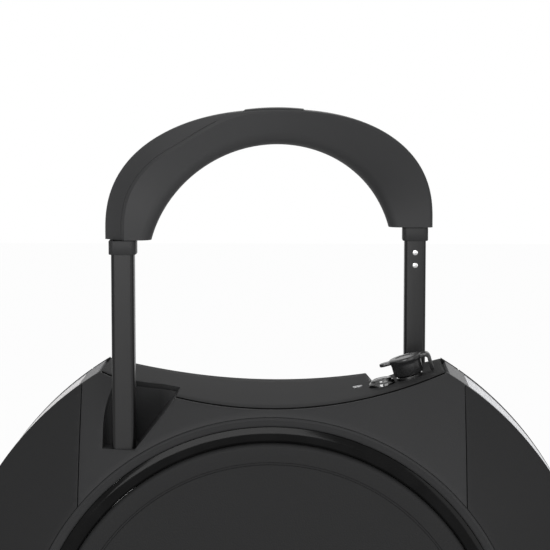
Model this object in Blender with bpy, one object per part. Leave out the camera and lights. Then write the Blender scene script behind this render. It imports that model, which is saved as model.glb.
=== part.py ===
"""Electric unicycle with a trolley handle: one wheel between two shells, a saddle top, folding pedals.

Frame: metres, +X is the travel direction, -Y is the vehicle's right side, +Z is up. The origin is on the
floor under the axle. The left side is the right side turned half a turn about the vertical axis.
"""

import math

import bmesh
import bpy
from mathutils import Vector

GAP = 0.0003  # between touching pieces
WALL = 0.0028  # shells, measured across the vehicle
RING_STEPS = 48
HIDDEN_STEPS = 24

# Body: a disc whose sides fall from the ring seam to the rim
DISC_HEIGHT = 0.274
RIM_RADIUS = 0.2235
RIM_HALF = 0.034
SEAM_RADIUS = 0.166
SEAM_HALF = 0.067
SIDE_BULGE = 0.0012
BODY_BOTTOM = 0.112
END_SEAM = 0.128
TIP_SPREAD = 0.060
SADDLE_LOW = 0.4454
SADDLE_RADIUS = 0.336
SADDLE_END = 0.1155
SKIN = 0.003  # top panel
RIM_DEPTH = 0.0095
RIM_START = math.radians(32)
RIM_END = math.radians(104)
LENS_START = math.radians(36)
LENS_END = math.radians(84)
LENS_HALF = 0.024
LENS_DEPTH = 0.004
BEZEL_INNER = 0.1597
LIGHT_INNER = 0.1495
PAD_RADIUS = 0.149
PAD_PROUD = 0.003
RING_BACK = 0.003  # depth of the rings and the pad behind the seam

# Wheel and motor, on the axle
AXLE_HEIGHT = 0.203
TYRE_HALF = 0.027
BEAD_RADIUS = 0.151
RIM_HALF_WIDTH = 0.0255
MAGNET_OUTER = 0.128
MAGNET_INNER = 0.1225
STATOR_RADIUS = 0.1215
COVER_OUTER = 0.139
AXLE_RADIUS = 0.008
BEARING_RADIUS = 0.016
AXLE_END = 0.052

# Inner frames and what they carry
FRAME_INNER = 0.0312
FRAME_THICK = 0.0022
FRAME_RADIUS = 0.2175
ARCH_CLEARANCE = 0.005
ARCH_THICK = 0.003
BATTERY_THICK = 0.024

# Handle posts, near one on the right rear, the other half a turn round
POST_X = -0.098
POST_Y = -0.053
TUBE_WIDTH = 0.015
TUBE_DEPTH = 0.014
TUBE_WALL = 0.0013
TUBE_CLEARANCE = 0.0004
SLEEVE_TOP = 0.398
SLEEVE_BOTTOM = 0.165
TUBE_BOTTOM = 0.293
COLLAR_LOW = 0.546
LEG_LOW = 0.5555

# Handle arch
ARCH_CENTRE = 0.5337
ARCH_RADIUS = 0.0822
CROWN_CENTRE = 0.562
CROWN_WIDTH = 0.110
CROWN_RISE = 0.077
CROWN_POWER = 2.3
ARCH_STATIONS = 36
RELEASE_HALF = 0.020
RELEASE_DEPTH = 0.009
RELEASE_EDGE = 0.005  # from the arch's faces
RELEASE_PROUD = 0.0013
RELEASE_TRAVEL = 0.003

# Pocket round each post
POCKET_RADIUS = 0.0142
POCKET_NOSE = (-0.068, -0.0285)
POCKET_FLOOR = 0.4175
POCKET_FOOT = -0.0905
POCKET_SLOPE = 1.25
LINER = 0.0022

# Controls on the saddle
PORT_PLACE = (0.0925, -0.010)
PORT_RADIUS = 0.009
BUTTON_PLACE = (0.0735, -0.013)
BUTTON_RADIUS = 0.0070
BUTTON_BEZEL = 0.0088
INDICATOR_PLACE = (0.057, -0.002)

# Pedals
HINGE_SIDE = 0.086
HINGE_HEIGHT = 0.094
PIN_RADIUS = 0.004
KNUCKLE_RADIUS = 0.0078
PEDAL_LENGTH = 0.200
PEDAL_WIDTH = 0.100
PEDAL_THICK = 0.016
BRACKET_WIDTH = 0.064
BRACKET_THICK = 0.010

MATERIALS = {
    "matte_shell": ((0.040, 0.041, 0.043, 1), 0.55, 0.0),
    "saddle_plastic": ((0.052, 0.053, 0.056, 1), 0.50, 0.0),
    "handle_plastic": ((0.038, 0.039, 0.041, 1), 0.45, 0.0),
    "gloss_black": ((0.010, 0.010, 0.011, 1), 0.08, 0.0),
    "soft_pad": ((0.036, 0.037, 0.039, 1), 0.70, 0.0),
    "rim_gray": ((0.13, 0.13, 0.135, 1), 0.45, 0.0),
    "pale_lens": ((0.82, 0.83, 0.85, 1), 0.15, 0.0),
    "red_lens": ((0.55, 0.50, 0.50, 1), 0.15, 0.0),
    "dark_anodised": ((0.045, 0.045, 0.050, 1), 0.30, 0.9),
    "chrome": ((0.78, 0.78, 0.80, 1), 0.08, 1.0),
    "rubber": ((0.012, 0.012, 0.012, 1), 0.45, 0.0),
    "tyre": ((0.020, 0.020, 0.020, 1), 0.75, 0.0),
    "aluminium": ((0.60, 0.61, 0.63, 1), 0.35, 1.0),
    "steel": ((0.45, 0.45, 0.46, 1), 0.30, 1.0),
    "copper": ((0.55, 0.26, 0.12, 1), 0.35, 1.0),
    "battery_wrap": ((0.03, 0.08, 0.22, 1), 0.40, 0.0),
    "board_green": ((0.02, 0.12, 0.05, 1), 0.50, 0.0),
}


def clear_scene():
    for obj in list(bpy.data.objects):
        bpy.data.objects.remove(obj, do_unlink=True)


def material(name):
    found = bpy.data.materials.get(name)
    if found:
        return found
    colour, roughness, metallic = MATERIALS[name]
    made = bpy.data.materials.new(name)
    made.use_nodes = True
    shader = made.node_tree.nodes["Principled BSDF"]
    shader.inputs["Base Color"].default_value = colour
    shader.inputs["Roughness"].default_value = roughness
    shader.inputs["Metallic"].default_value = metallic
    return made


def place(name, location=(0, 0, 0), parent=None, tilt=0.0, turn=0.0):
    """An empty that carries pieces."""
    empty = bpy.data.objects.new(name, None)
    bpy.context.scene.collection.objects.link(empty)
    empty.location = location
    empty.rotation_euler = (0, tilt, turn)
    empty.parent = parent
    return empty


def piece(name, bm, look, parent=None, location=(0, 0, 0), smooth=35):
    """The finished object of a bmesh, outward facing, round faces smooth."""
    bmesh.ops.recalc_face_normals(bm, faces=bm.faces)
    mesh = bpy.data.meshes.new(name)
    bm.to_mesh(mesh)
    bm.free()
    mesh.shade_smooth()
    mesh.set_sharp_from_angle(angle=math.radians(smooth))
    obj = bpy.data.objects.new(name, mesh)
    bpy.context.scene.collection.objects.link(obj)
    obj.location = location
    obj.parent = parent
    if look:
        mesh.materials.append(material(look))
    return obj


def boolean(obj, other, operation):
    """Combines with a helper, which is left out of the build."""
    other.hide_render = True
    other.display_type = "WIRE"
    step = obj.modifiers.new(operation.lower(), "BOOLEAN")
    step.operation = operation
    step.solver = "EXACT"
    step.object = other
    return obj


def prism(outline, axis, low, high):
    """A bmesh with the flat outline extruded from low to high along the axis."""
    order = {
        "X": lambda a, b, c: (c, a, b),
        "Y": lambda a, b, c: (a, c, b),
        "Z": lambda a, b, c: (a, b, c),
    }[axis]
    bm = bmesh.new()
    face = bm.faces.new([bm.verts.new(order(a, b, low)) for a, b in outline])
    grown = bmesh.ops.extrude_face_region(bm, geom=[face])
    moved = [v for v in grown["geom"] if isinstance(v, bmesh.types.BMVert)]
    bmesh.ops.translate(bm, vec=Vector(order(0, 0, high - low)), verts=moved)
    return bm


def turned(profile, steps, axis="Y"):
    """A bmesh with a closed profile of (radius, along) turned about the axis."""
    bm = bmesh.new()
    along = Vector((0, 1, 0)) if axis == "Y" else Vector((0, 0, 1))
    verts = [bm.verts.new(Vector((r, 0, 0)) + along * a) for r, a in profile]
    edges = [bm.edges.new((verts[i - 1], verts[i])) for i in range(len(verts))]
    bmesh.ops.spin(
        bm, geom=verts + edges, cent=(0, 0, 0), axis=along, angle=2 * math.pi, steps=steps, use_merge=True
    )
    bmesh.ops.remove_doubles(bm, verts=bm.verts, dist=1e-6)
    return bm


def box(low, high):
    outline = [(low[0], low[1]), (high[0], low[1]), (high[0], high[1]), (low[0], high[1])]
    return prism(outline, "Z", low[2], high[2])


def arc(centre, radius, start, end, count):
    step = (end - start) / (count - 1)
    angles = [start + step * i for i in range(count)]
    return [(centre[0] + radius * math.cos(a), centre[1] + radius * math.sin(a)) for a in angles]


def rounded(width, depth, corner, centre=(0, 0), count=4):
    """The outline of a rectangle with round corners."""
    points = []
    for i, (sx, sy) in enumerate(((1, 1), (-1, 1), (-1, -1), (1, -1))):
        middle = (centre[0] + sx * (width / 2 - corner), centre[1] + sy * (depth / 2 - corner))
        points += arc(middle, corner, i * math.pi / 2, (i + 1) * math.pi / 2, count)
    return points


def hull(points):
    """The convex outline round flat points."""
    points = sorted(set(points))

    def chain(row):
        kept = []
        for p in row:
            while len(kept) > 1 and cross(kept[-2], kept[-1], p) <= 1e-12:
                kept.pop()
            kept.append(p)
        return kept[:-1]

    def cross(o, a, b):
        return (a[0] - o[0]) * (b[1] - o[1]) - (a[1] - o[1]) * (b[0] - o[0])

    return chain(points) + chain(points[::-1])


def saddle_height(x):
    return SADDLE_LOW + x * x / (2 * SADDLE_RADIUS)


def side_half(radius):
    """Half the vehicle's width at a distance from the disc's centre."""
    share = (radius - SEAM_RADIUS) / (RIM_RADIUS - SEAM_RADIUS)
    return SEAM_HALF + (RIM_HALF - SEAM_HALF) * share + SIDE_BULGE * math.sin(
        math.pi * min(max(share, 0), 1)
    )


def pocket_region(grow):
    """The pocket's space, a leaf in plan open to the side, with a floor that climbs inwards."""
    r = POCKET_RADIUS + grow
    centres = (POCKET_NOSE, (POST_X, POST_Y), (POCKET_NOSE[0], -0.085), (POST_X, -0.085))
    points = []
    for centre in centres:
        points += arc(centre, r, 0, 2 * math.pi, 25)[:-1]
    bm = prism(hull(points), "Z", POCKET_FLOOR - grow, 0.49)
    lift = grow * math.hypot(1, POCKET_SLOPE)
    foot = (POCKET_FOOT, POCKET_FLOOR - lift)
    slope = Vector((-POCKET_SLOPE, 0, 1))
    geom = bm.verts[:] + bm.edges[:] + bm.faces[:]
    cut = bmesh.ops.bisect_plane(
        bm, geom=geom, plane_co=(foot[0], 0, foot[1]), plane_no=slope, clear_inner=True
    )
    rim = [e for e in cut["geom_cut"] if isinstance(e, bmesh.types.BMEdge)]
    bmesh.ops.edgeloop_fill(bm, edges=rim)
    return bm


def pocket_cutter(name, parent, grow):
    return piece(name, pocket_region(grow), None, parent)


def saddle_outline(low, drop=0.0, reach=END_SEAM):
    """The side view under the saddle, between the end seams."""
    ends = SADDLE_END
    steps = 20
    top = [
        (
            ends - 2 * ends * i / steps, saddle_height(ends - 2 * ends * i / steps) - drop,
        ) for i in range(steps + 1)
    ]
    return [
        (-reach, low), (reach, low), (reach, 0.49), (ends + 0.001, 0.49),
    ] + top + [(-ends - 0.001, 0.49), (-reach, 0.49)]


def side_shell(name, parent):
    """The lens-shaped wall between the ring seam and the rim, all the way round."""
    inner = SEAM_RADIUS + GAP
    radii = [inner + (RIM_RADIUS - inner) * i / 5 for i in range(6)]
    outer = [(r, -side_half(r)) for r in radii]
    back = [(r, -side_half(r) + WALL) for r in radii]
    bm = turned(outer + back[::-1], RING_STEPS)
    return piece(name, bm, "matte_shell", parent, (0, 0, DISC_HEIGHT))


def side_covers(side, parent):
    shoulder = side_shell(side + "_shoulder_cover", parent)
    keep = piece(
        side + "_shoulder_keep", prism(saddle_outline(0.374, 0, END_SEAM - GAP), "Y", -0.08, 0), None,
        parent,
    )
    boolean(shoulder, keep, "INTERSECT")
    boolean(shoulder, pocket_cutter(side + "_shoulder_pocket", parent, 0.0), "DIFFERENCE")
    for end, way in (("front", 1), ("rear", -1)):
        if side == "left":
            way = -way
        cover = side_shell(side + "_" + end + "_cover", parent)
        near = (END_SEAM + GAP) * way
        far = 0.25 * way
        tip = TIP_SPREAD * way
        outline = [
            (near, 0.50), (near, DISC_HEIGHT), (tip, DISC_HEIGHT), (tip, BODY_BOTTOM), (far, BODY_BOTTOM),
            (far, 0.50),
        ]
        keep = piece(side + "_" + end + "_keep", prism(outline, "Y", -0.08, 0), None, parent)
        boolean(cover, keep, "INTERSECT")


def side_rings(side, parent):
    """Bezel ring, light ring and centre pad, one inside the next."""
    face = SEAM_HALF
    inner = BEZEL_INNER
    bezel = [
        (SEAM_RADIUS, -face + RING_BACK), (SEAM_RADIUS, -face), (SEAM_RADIUS - 0.0015, -face - 0.0008),
        (inner + 0.0012, -face + 0.0006), (inner, -face + 0.0018), (inner, -face + RING_BACK),
    ]
    place_at = (0, 0, DISC_HEIGHT)
    piece(side + "_bezel_ring", turned(bezel, RING_STEPS), "matte_shell", parent, place_at)
    low = inner - GAP
    light = [
        (low, -face + RING_BACK), (low, -face + 0.0014), (LIGHT_INNER, -face + 0.0008),
        (LIGHT_INNER, -face + RING_BACK),
    ]
    piece(side + "_light_ring", turned(light, RING_STEPS), "gloss_black", parent, place_at)
    top = -face - PAD_PROUD
    pad = [
        (0, -face + RING_BACK), (PAD_RADIUS, -face + RING_BACK), (PAD_RADIUS, -face - 0.0004),
        (PAD_RADIUS - 0.0012, top + 0.0008), (PAD_RADIUS - 0.004, top), (0, top),
    ]
    piece(side + "_pad", turned(pad, RING_STEPS), "soft_pad", parent, place_at)


def pocket_liner(side, parent):
    """The cup of the pocket, which closes the shell round the post."""
    liner = piece(side + "_pocket_liner", pocket_region(LINER), "matte_shell", parent)
    boolean(liner, pocket_cutter(side + "_liner_hollow", parent, 0.0), "DIFFERENCE")
    keep = turned([(0, 0)] + [(SEAM_RADIUS - 0.03, 0), (SEAM_RADIUS - 0.03, -SEAM_HALF + 0.0055)]
                  + [
                      (r, -side_half(r) + WALL + GAP) for r in (
                          SEAM_RADIUS, 0.18, 0.195, 0.21, RIM_RADIUS - 0.002,
                      )
                  ]
                  + [(RIM_RADIUS - 0.002, 0)], RING_STEPS)
    keep = piece(side + "_liner_inside", keep, None, parent, (0, 0, DISC_HEIGHT))
    boolean(liner, keep, "INTERSECT")
    below = piece(
        side + "_liner_below", prism(saddle_outline(0.38, SKIN + GAP, 0.13), "Y", -0.08, 0), None, parent,
    )
    boolean(liner, below, "INTERSECT")
    hole = rounded(
        TUBE_WIDTH + 2 * TUBE_CLEARANCE, TUBE_DEPTH + 2 * TUBE_CLEARANCE, 0.0030, (POST_X, POST_Y),
    )
    hole = piece(side + "_tube_passage", prism(hole, "Z", 0.38, 0.43), None, parent)
    boolean(liner, hole, "DIFFERENCE")
    boolean(bpy.data.objects[side + "_shoulder_cover"], hole, "DIFFERENCE")


def tube(name, width, depth, low, high, look, parent):
    """A square tube with round corners, open at both ends."""
    bm = prism(rounded(width, depth, 0.0030, (0, 0)), "Z", low, high)
    obj = piece(name, bm, look, parent)
    inside = rounded(width - 2 * TUBE_WALL, depth - 2 * TUBE_WALL, 0.0018, (0, 0))
    boolean(
        obj, piece(name + "_bore", prism(inside, "Z", low - 0.01, high + 0.01), None, parent),
        "DIFFERENCE",
    )
    return obj


def posts(side, parent):
    """The telescope under one leg of the handle: collar, tube and outer sleeve."""
    post = place(side + "_post", (POST_X, POST_Y, 0), parent)
    tube(side + "_inner_tube", TUBE_WIDTH, TUBE_DEPTH, TUBE_BOTTOM, LEG_LOW - GAP, "dark_anodised", post)
    width = TUBE_WIDTH + 2 * (TUBE_CLEARANCE + TUBE_WALL)
    depth = TUBE_DEPTH + 2 * (TUBE_CLEARANCE + TUBE_WALL)
    sleeve = tube(side + "_outer_sleeve", width, depth, SLEEVE_BOTTOM, SLEEVE_TOP, "aluminium", post)
    reach = -POST_Y - FRAME_INNER - FRAME_THICK - GAP
    for i, height in enumerate((SLEEVE_BOTTOM + 0.01, SLEEVE_TOP - 0.05)):
        foot = piece(
            f"{side}_sleeve_foot_{i}",
            box((-0.008, depth / 2 - 0.0005, height), (0.008, reach, height + 0.02)), None, post,
        )
        boolean(sleeve, foot, "UNION")
    collar = prism(rounded(0.0180, 0.0170, 0.0035), "Z", COLLAR_LOW, LEG_LOW - GAP)
    collar = piece(side + "_collar", collar, "gloss_black", post)
    hole = rounded(TUBE_WIDTH + 2 * GAP, TUBE_DEPTH + 2 * GAP, 0.0032)
    boolean(
        collar,
        piece(side + "_collar_hole", prism(hole, "Z", COLLAR_LOW - 0.01, LEG_LOW + 0.01), None, post),
        "DIFFERENCE",
    )


def crown_reach(angle):
    """Distance from the arch's centre to its outer outline."""
    low, high = 0.05, 0.2
    for _ in range(40):
        reach = (low + high) / 2
        x = abs(reach * math.cos(angle)) / CROWN_WIDTH
        z = max(0.0, ARCH_CENTRE + reach * math.sin(angle) - CROWN_CENTRE) / CROWN_RISE
        if x ** CROWN_POWER + z ** CROWN_POWER < 1:
            low = reach
        else:
            high = reach
    return (low + high) / 2


def near_face(x):
    """How far the arch's near face lies from the middle plane, along the diagonal."""
    share = x / 0.098
    return -0.017 + 0.053 * share + 0.009 * share * share


def arch_section(inner, outer):
    """Ten points round the arch at one station: round inner edges, a bevel beyond the crease."""
    near = near_face(outer[0] * 0.89)
    far = -near_face(-outer[0] * 0.89)
    width = math.dist(inner, outer)
    near_bevel, far_bevel = (
        0.002 + 0.014 * min(1, max(0, (way * outer[0] - 0.015) / 0.06)) for way in (-1, 1)
    )
    soft = min(0.007, (far - near) * 0.42)
    rows = [
        (soft, near), (width - near_bevel, near), (width, near + 0.85 * near_bevel),
        (width, far - 0.85 * far_bevel), (width - far_bevel, far), (soft, far),
        (soft * 0.3, far - soft * 0.3), (0, far - soft), (0, near + soft), (soft * 0.3, near + soft * 0.3),
    ]
    way = ((outer[0] - inner[0]) / width, (outer[1] - inner[1]) / width)
    return [(inner[0] + way[0] * s, y, inner[1] + way[1] * s) for s, y in rows]


def handle_arch():
    """The diagonal arch over the saddle, a loft from one leg to the other."""
    start_inner = math.asin((LEG_LOW - ARCH_CENTRE) / ARCH_RADIUS)
    start_outer = math.atan2(LEG_LOW - ARCH_CENTRE, CROWN_WIDTH)
    bm = bmesh.new()
    rings = []
    for i in range(ARCH_STATIONS + 1):
        share = i / ARCH_STATIONS
        a_in = math.pi - start_inner - (math.pi - 2 * start_inner) * share
        a_out = math.pi - start_outer - (math.pi - 2 * start_outer) * share
        reach = crown_reach(a_out)
        inner = (ARCH_RADIUS * math.cos(a_in), ARCH_CENTRE + ARCH_RADIUS * math.sin(a_in))
        outer = (reach * math.cos(a_out), ARCH_CENTRE + reach * math.sin(a_out))
        rings.append([bm.verts.new(p) for p in arch_section(inner, outer)])
    for a, b in zip(rings, rings[1:]):
        for k in range(len(a)):
            bm.faces.new((a[k - 1], a[k], b[k], b[k - 1]))
    bm.faces.new(rings[0])
    bm.faces.new(rings[-1])
    arch = piece("handle_arch", bm, "handle_plastic", None, (0, 0, 0), 30)
    recess = release_block(GAP, CROWN_CENTRE + CROWN_RISE + 0.01, RELEASE_TRAVEL)
    boolean(arch, piece("release_recess", recess, None), "DIFFERENCE")
    for side in (1, -1):
        x, y = POST_X * side, POST_Y * side
        screw = prism(rounded(0.006, 0.006, 0.0029, (x, y), 5), "Z", LEG_LOW - 0.01, LEG_LOW + 0.012)
        boolean(arch, piece(f"leg_hole_{side}", screw, None), "DIFFERENCE")
    piece("release_button", release_block(0.0, None, 0.0), "handle_plastic", place("release_axis"))


def release_block(grow, flat_top, drop):
    """A block across the crown that follows the arch's diagonal, with a slightly crowned or a flat top."""
    crown = CROWN_CENTRE + CROWN_RISE
    low = crown - RELEASE_DEPTH - drop - grow
    half = RELEASE_HALF + grow
    steps = 10
    bm = bmesh.new()
    rings = []
    for i in range(steps + 1):
        x = half * (2 * i / steps - 1)
        near = near_face(x * 0.89) + RELEASE_EDGE - grow
        far = -near_face(-x * 0.89) - RELEASE_EDGE + grow
        top = flat_top or crown + RELEASE_PROUD - 0.0012 * (x / RELEASE_HALF) ** 2
        corners = ((near, low), (near, top), (far, top), (far, low))
        rings.append([bm.verts.new((x, y, z)) for y, z in corners])
    for a, b in zip(rings, rings[1:]):
        for k in range(4):
            bm.faces.new((a[k - 1], a[k], b[k], b[k - 1]))
    bm.faces.new(rings[0])
    bm.faces.new(rings[-1])
    return bm


def top_panel():
    """The saddle's skin, which narrows as the sides close in towards its ends."""
    bm = bmesh.new()
    steps = 26
    rings = []
    for i in range(steps + 1):
        x = SADDLE_END - 0.0008 - 2 * (SADDLE_END - 0.0008) * i / steps
        z = saddle_height(x)
        half = side_half(math.hypot(x, z - DISC_HEIGHT)) - WALL - 0.0009
        half_low = side_half(math.hypot(x, z - SKIN - DISC_HEIGHT)) - WALL - 0.0009
        half = min(half, half_low)
        rings.append(
            [
                bm.verts.new(p) for p in (
                    (x, -half, z), (x, half, z), (x, half, z - SKIN), (x, -half, z - SKIN),
                )
            ]
        )
    for a, b in zip(rings, rings[1:]):
        for k in range(4):
            bm.faces.new((a[k - 1], a[k], b[k], b[k - 1]))
    bm.faces.new(rings[0])
    bm.faces.new(rings[-1])
    panel = piece("top_panel", bm, "saddle_plastic")
    for side, parent in SIDES.items():
        boolean(panel, pocket_cutter(side + "_panel_pocket", parent, 0.0), "DIFFERENCE")
    for name, spot, radius in (("port", PORT_PLACE, PORT_RADIUS), ("button", BUTTON_PLACE, BUTTON_BEZEL)):
        hole = turned([(0, -0.02), (radius + GAP, -0.02), (radius + GAP, 0.02), (0, 0.02)], 24, "Z")
        boolean(panel, piece(name + "_hole", hole, None, control(name + "_hole_axis", spot)), "DIFFERENCE")
    hole = prism(rounded(0.0098, 0.0042, 0.0020), "Z", -0.01, 0.01)
    boolean(
        panel, piece("indicator_hole", hole, None, control("indicator_hole_axis", INDICATOR_PLACE)),
        "DIFFERENCE",
    )


def control(name, spot):
    """An empty on the saddle, square to it."""
    tilt = -math.atan2(spot[0], SADDLE_RADIUS)
    return place(name, (spot[0], spot[1], saddle_height(spot[0])), None, tilt)


def controls():
    port = control("port_axis", PORT_PLACE)
    r = PORT_RADIUS
    socket = [
        (r, -0.008), (r, 0.0018), (r - 0.0008, 0.0026), (r - 0.0008, 0.0060), (r - 0.0014, 0.0066),
        (r - 0.0028, 0.0066), (r - 0.0028, -0.005), (0, -0.005), (0, -0.008),
    ]
    piece("charge_socket", turned(socket, 24, "Z"), "chrome", port)
    cap = [
        (0, 0.0150), (0.0090, 0.0150), (0.0112, 0.0142), (0.0114, 0.0124), (0.0106, 0.0114), (0.0102, 0.0030),
        (0.0086, 0.0030), (0.0086, 0.0075), (0, 0.0075),
    ]
    cap = piece("charge_cap", turned(cap[::-1], 24, "Z"), "rubber", port)
    tab = prism(
        hull(arc((-0.0145, 0), 0.0035, 0, 2 * math.pi, 17)[:-1] + [(-0.006, -0.0035), (-0.006, 0.0035)]),
        "Z", 0.0118, 0.0140,
    )
    boolean(cap, piece("cap_tab", tab, None, port), "UNION")
    strap = prism(
        [
            (0.008, 0.0120), (0.0150, 0.0120), (0.0150, 0.0016), (0.0170, 0.0016), (0.0170, 0.0130),
            (0.0155, 0.0142), (0.008, 0.0142),
        ],
        "Y", -0.003, 0.003,
    )
    boolean(cap, piece("cap_strap", strap, None, port), "UNION")
    button = control("button_axis", BUTTON_PLACE)
    b = BUTTON_BEZEL
    inner = BUTTON_RADIUS + 0.0002
    bezel = [(b, -0.006), (b, 0.0030), (b - 0.0005, 0.0036), (inner, 0.0036), (inner, -0.006)]
    piece("button_bezel", turned(bezel, 24, "Z"), "chrome", button)
    knob = BUTTON_RADIUS
    cap = [(0, -0.004), (knob, -0.004), (knob, 0.0046), (knob - 0.001, 0.0054), (0, 0.0058)]
    piece("power_button", turned(cap, 24, "Z"), "chrome", button)
    lamp = prism(rounded(0.0092, 0.0036, 0.0017), "Z", -0.0035, 0.0006)
    piece("state_indicator", lamp, "pale_lens", control("indicator_axis", INDICATOR_PLACE))


def rim_arc(inner, outer, start, end, half, steps):
    """A curved bar on the rim, between two angles from the vertical, towards the front."""
    bm = bmesh.new()
    rings = []
    for i in range(steps + 1):
        angle = start + (end - start) * i / steps
        way = (math.sin(angle), math.cos(angle))
        corners = ((inner, -half), (outer, -half), (outer, half), (inner, half))
        rings.append([bm.verts.new((way[0] * r, y, way[1] * r)) for r, y in corners])
    for a, b in zip(rings, rings[1:]):
        for k in range(4):
            bm.faces.new((a[k - 1], a[k], b[k], b[k - 1]))
    bm.faces.new(rings[0])
    bm.faces.new(rings[-1])
    return bm


def rims():
    """The front and rear edges of the body, each with a lens let into it."""
    for name, lens, look, turn in (
        ("front_rim", "headlight_lens", "pale_lens", 0), (
            "rear_rim", "tail_light_lens", "red_lens", math.pi,
        ),
    ):
        end = place(name + "_end", (0, 0, DISC_HEIGHT), None, 0, turn)
        outer = RIM_RADIUS - 0.0003
        half = FRAME_INNER - GAP
        band = piece(
            name, rim_arc(RIM_RADIUS - RIM_DEPTH, outer, RIM_START, RIM_END, half, 18), "rim_gray", end,
        )
        floor = outer - LENS_DEPTH
        slot = rim_arc(floor, outer + 0.01, LENS_START, LENS_END, LENS_HALF + GAP, 14)
        boolean(band, piece(name + "_slot", slot, None, end), "DIFFERENCE")
        inset = GAP / RIM_RADIUS
        bar = rim_arc(floor + GAP * 2, outer + 0.0002, LENS_START + inset, LENS_END - inset, LENS_HALF, 14)
        piece(lens, bar, look, end)


def frame_plate(side, parent):
    """The flat plate between the wheel and one side's packs."""
    low = -FRAME_INNER - FRAME_THICK
    disc = [(0, low), (FRAME_RADIUS, low), (FRAME_RADIUS, -FRAME_INNER), (0, -FRAME_INNER)]
    plate = piece(side + "_side_frame", turned(disc, RING_STEPS), "aluminium", parent, (0, 0, DISC_HEIGHT))
    keep = prism(saddle_outline(BODY_BOTTOM, SKIN + 0.004, 0.2), "Y", -0.08, 0)
    boolean(plate, piece(side + "_frame_keep", keep, None, parent), "INTERSECT")
    boolean(plate, pocket_cutter(side + "_frame_pocket", parent, LINER + 0.0006), "DIFFERENCE")
    hole = turned([(0, -0.05), (AXLE_RADIUS + GAP, -0.05), (AXLE_RADIUS + GAP, 0.0), (0, 0.0)], 32)
    boolean(plate, piece(side + "_frame_hole", hole, None, parent, (0, 0, AXLE_HEIGHT)), "DIFFERENCE")


def frames():
    for side, parent in SIDES.items():
        frame_plate(side, parent)
        outer = -FRAME_INNER - FRAME_THICK - GAP
        bm = box((BRACKET_WIDTH / 2 + 0.003, outer - BATTERY_THICK, 0.165), (0.135, outer, 0.290))
        bmesh.ops.bevel(bm, geom=bm.edges, offset=0.004, segments=1, affect="EDGES")
        piece(side + "_battery", bm, "battery_wrap", parent)
    half = FRAME_INNER - GAP
    inner = AXLE_HEIGHT + ARCH_CLEARANCE
    arch = rim_arc(inner, inner + ARCH_THICK, math.radians(-62), math.radians(62), half, 24)
    piece("wheel_arch", arch, "matte_shell", None, (0, 0, AXLE_HEIGHT))
    top = AXLE_HEIGHT + inner + ARCH_THICK
    sink = box((-0.045, -0.024, top + GAP), (0.045, 0.024, top + 0.006))
    sink = piece("heat_sink", sink, "aluminium")
    for i in range(6):
        x = -0.0375 + 0.015 * i
        groove = box((x - 0.002, -0.03, top + 0.0025), (x + 0.002, 0.03, top + 0.01))
        boolean(sink, piece(f"sink_groove_{i}", groove, None), "DIFFERENCE")
    board = box((-0.050, -0.027, top + 0.006 + GAP), (0.050, 0.027, top + 0.0078 + GAP))
    piece("control_board", board, "board_green")


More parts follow.
